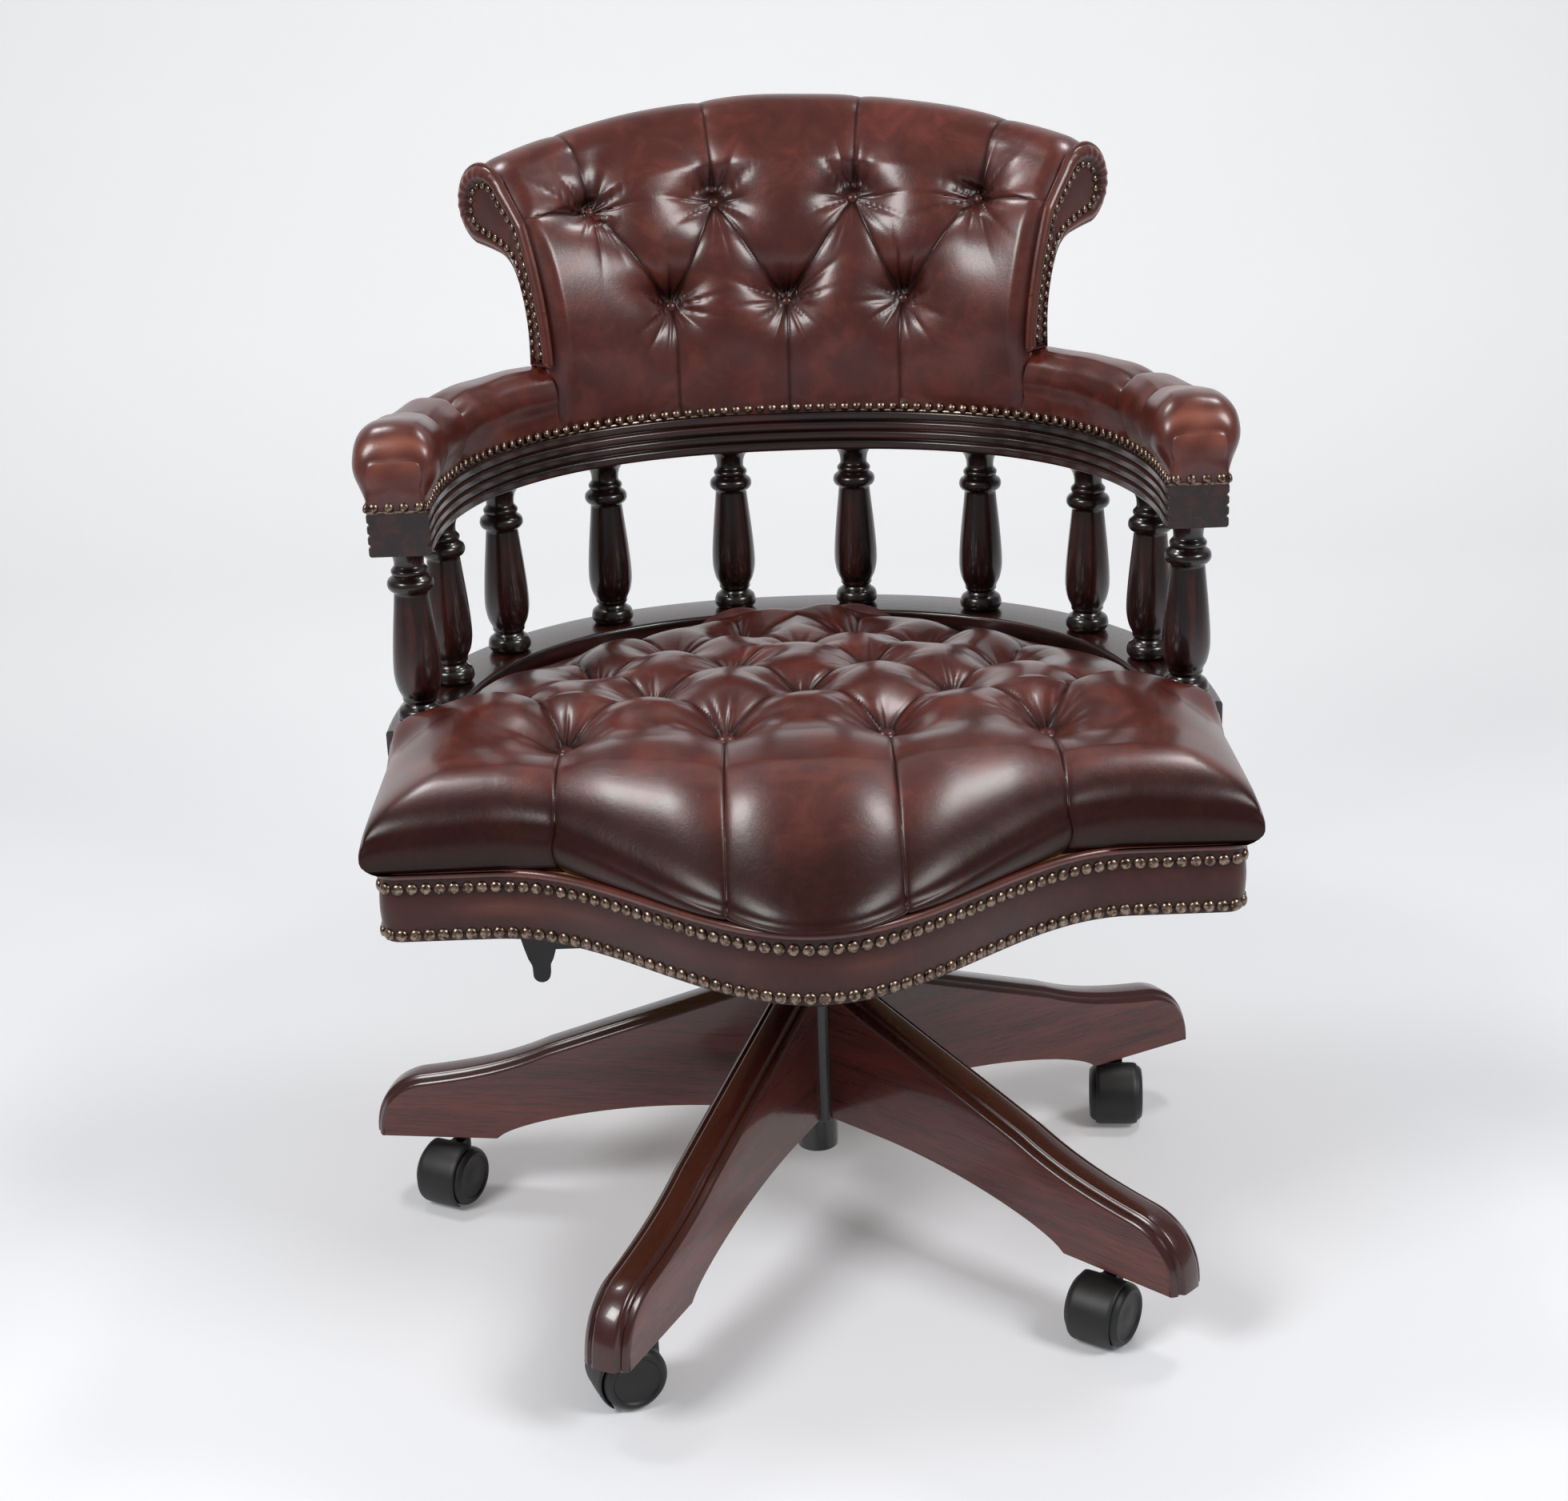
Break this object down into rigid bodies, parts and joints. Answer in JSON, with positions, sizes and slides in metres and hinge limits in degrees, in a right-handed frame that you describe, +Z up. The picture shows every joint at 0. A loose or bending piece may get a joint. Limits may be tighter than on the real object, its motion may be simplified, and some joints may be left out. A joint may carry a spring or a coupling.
{
  "type": "captains chair",
  "caption": "Swivel captains chair with a buttoned leather back and cushion, padded arm bow on turned spindles, wooden star base and twin-wheel castors.",
  "frame": {"origin": "floor under the centre of the part's bounding box", "axes": "+Z up from the floor, -Y towards the seat's front edge, +X to the right seen from the front"},
  "size_m": [0.6539, 0.6904, 0.802],
  "materials": {
    "leather": "satin",
    "dark_wood": "gloss",
    "plain_wood": "matte",
    "castor_brown": "gloss",
    "wheel_black": "satin",
    "black_steel": "satin",
    "bright_steel": "polished",
    "zinc_steel": "satin",
    "black_plastic": "satin",
    "bush_plastic": "matte"
  },
  "bodies": {
    "base": {"base_hub": "dark_wood", "base_leg_1": "dark_wood", "base_leg_2": "dark_wood", "base_leg_3": "dark_wood", "base_leg_4": "dark_wood", "base_leg_5": "dark_wood", "column_tube": "black_steel", "column_bush": "bush_plastic"},
    "rod": {"piston_rod": "bright_steel", "column_clip": "zinc_steel"},
    "lift": {"gas_cylinder": "bright_steel", "tilt_housing": "black_steel", "tilt_pin": "zinc_steel", "tilt_spring": "zinc_steel", "lever_pin": "zinc_steel"},
    "lever": {"lift_lever": "black_plastic"},
    "seat": {"seat_plate": "black_steel", "seat_board": "plain_wood", "seat_frame": "plain_wood", "seat_band": "leather", "seat_cushion": "leather", "gallery_rail": "dark_wood", "spindle_01": "dark_wood", "spindle_02": "dark_wood", "spindle_03": "dark_wood", "spindle_04": "dark_wood", "spindle_05": "dark_wood", "spindle_06": "dark_wood", "spindle_07": "dark_wood", "spindle_08": "dark_wood", "spindle_09": "dark_wood", "spindle_10": "dark_wood", "arm_bow": "dark_wood", "arm_pad_right": "leather", "arm_pad_left": "leather", "back_cushion": "leather", "back_panel": "leather", "back_facing_right": "leather", "back_facing_left": "leather"},
    "knob": {"tension_knob": "black_plastic"},
    "castor_1": {"castor_1_hood": "castor_brown", "castor_1_stem": "zinc_steel"},
    "castor_1_a": {"castor_1_wheel_a": "wheel_black"},
    "castor_1_b": {"castor_1_wheel_b": "wheel_black"},
    "castor_2": {"castor_2_hood": "castor_brown", "castor_2_stem": "zinc_steel"},
    "castor_2_a": {"castor_2_wheel_a": "wheel_black"},
    "castor_2_b": {"castor_2_wheel_b": "wheel_black"},
    "castor_3": {"castor_3_hood": "castor_brown", "castor_3_stem": "zinc_steel"},
    "castor_3_a": {"castor_3_wheel_a": "wheel_black"},
    "castor_3_b": {"castor_3_wheel_b": "wheel_black"},
    "castor_4": {"castor_4_hood": "castor_brown", "castor_4_stem": "zinc_steel"},
    "castor_4_a": {"castor_4_wheel_a": "wheel_black"},
    "castor_4_b": {"castor_4_wheel_b": "wheel_black"},
    "castor_5": {"castor_5_hood": "castor_brown", "castor_5_stem": "zinc_steel"},
    "castor_5_a": {"castor_5_wheel_a": "wheel_black"},
    "castor_5_b": {"castor_5_wheel_b": "wheel_black"}
  },
  "joints": [
    {"name": "seat_swivel", "type": "hinge", "parent": "base", "child": "rod", "pos_m": [0.0154, -0.0314, 0.12], "axis": [0, 0, 1], "continuous": true},
    {"name": "seat_lift", "type": "slide", "parent": "rod", "child": "lift", "axis": [0, 0, 1], "range_m": [0, 0.07]},
    {"name": "lever_press", "type": "hinge", "parent": "lift", "child": "lever", "pos_m": [-0.0356, -0.1214, 0.2652], "axis": [0, 1, 0], "range_deg": [0, 4.6], "stiffness_Nm_per_rad": 1.5, "springref_deg": -8.59},
    {"name": "seat_tilt", "type": "hinge", "parent": "lift", "child": "seat", "pos_m": [0.0154, -0.0764, 0.2827], "axis": [-1, 0, 0], "range_deg": [0, 12], "stiffness_Nm_per_rad": 90, "springref_deg": -25.78, "deforming": ["tilt_spring"]},
    {"name": "tension_turn", "type": "hinge", "parent": "seat", "child": "knob", "pos_m": [0.0154, -0.1174, 0.22], "axis": [0, 0, 1], "continuous": true},
    {"name": "castor_1_swivel", "type": "hinge", "parent": "base", "child": "castor_1", "pos_m": [0.26216, 0.10091, 0.05], "axis": [0, 0, 1], "continuous": true},
    {"name": "castor_1_roll_a", "type": "hinge", "parent": "castor_1", "child": "castor_1_a", "pos_m": [0.26068, 0.08398, 0.023], "axis": [0.9962, -0.0872, 0], "continuous": true},
    {"name": "castor_1_roll_b", "type": "hinge", "parent": "castor_1", "child": "castor_1_b", "pos_m": [0.26068, 0.08398, 0.023], "axis": [0.9962, -0.0872, 0], "continuous": true},
    {"name": "castor_2_swivel", "type": "hinge", "parent": "base", "child": "castor_2", "pos_m": [-0.03418, 0.24417, 0.05], "axis": [0, 0, 1], "continuous": true},
    {"name": "castor_2_roll_a", "type": "hinge", "parent": "castor_2", "child": "castor_2_a", "pos_m": [-0.03123, 0.26092, 0.023], "axis": [-0.9848, 0.1736, 0], "continuous": true},
    {"name": "castor_2_roll_b", "type": "hinge", "parent": "castor_2", "child": "castor_2_b", "pos_m": [-0.03123, 0.26092, 0.023], "axis": [-0.9848, 0.1736, 0], "continuous": true},
    {"name": "castor_3_swivel", "type": "hinge", "parent": "base", "child": "castor_3", "pos_m": [-0.26201, 0.0066, 0.05], "axis": [0, 0, 1], "continuous": true},
    {"name": "castor_3_roll_a", "type": "hinge", "parent": "castor_3", "child": "castor_3_a", "pos_m": [-0.26999, -0.00841, 0.023], "axis": [0.8829, -0.4695, 0], "continuous": true},
    {"name": "castor_3_roll_b", "type": "hinge", "parent": "castor_3", "child": "castor_3_b", "pos_m": [-0.26999, -0.00841, 0.023], "axis": [0.8829, -0.4695, 0], "continuous": true},
    {"name": "castor_4_swivel", "type": "hinge", "parent": "base", "child": "castor_4", "pos_m": [-0.10646, -0.28349, 0.05], "axis": [0, 0, 1], "continuous": true},
    {"name": "castor_4_roll_a", "type": "hinge", "parent": "castor_4", "child": "castor_4_a", "pos_m": [-0.12223, -0.28986, 0.023], "axis": [0.3746, -0.9272, 0], "continuous": true},
    {"name": "castor_4_roll_b", "type": "hinge", "parent": "castor_4", "child": "castor_4_b", "pos_m": [-0.12223, -0.28986, 0.023], "axis": [0.3746, -0.9272, 0], "continuous": true},
    {"name": "castor_5_swivel", "type": "hinge", "parent": "base", "child": "castor_5", "pos_m": [0.21749, -0.2252, 0.05], "axis": [0, 0, 1], "continuous": true},
    {"name": "castor_5_roll_a", "type": "hinge", "parent": "castor_5", "child": "castor_5_a", "pos_m": [0.20774, -0.23913, 0.023], "axis": [0.8192, -0.5736, 0], "continuous": true},
    {"name": "castor_5_roll_b", "type": "hinge", "parent": "castor_5", "child": "castor_5_b", "pos_m": [0.20774, -0.23913, 0.023], "axis": [0.8192, -0.5736, 0], "continuous": true}
  ]
}
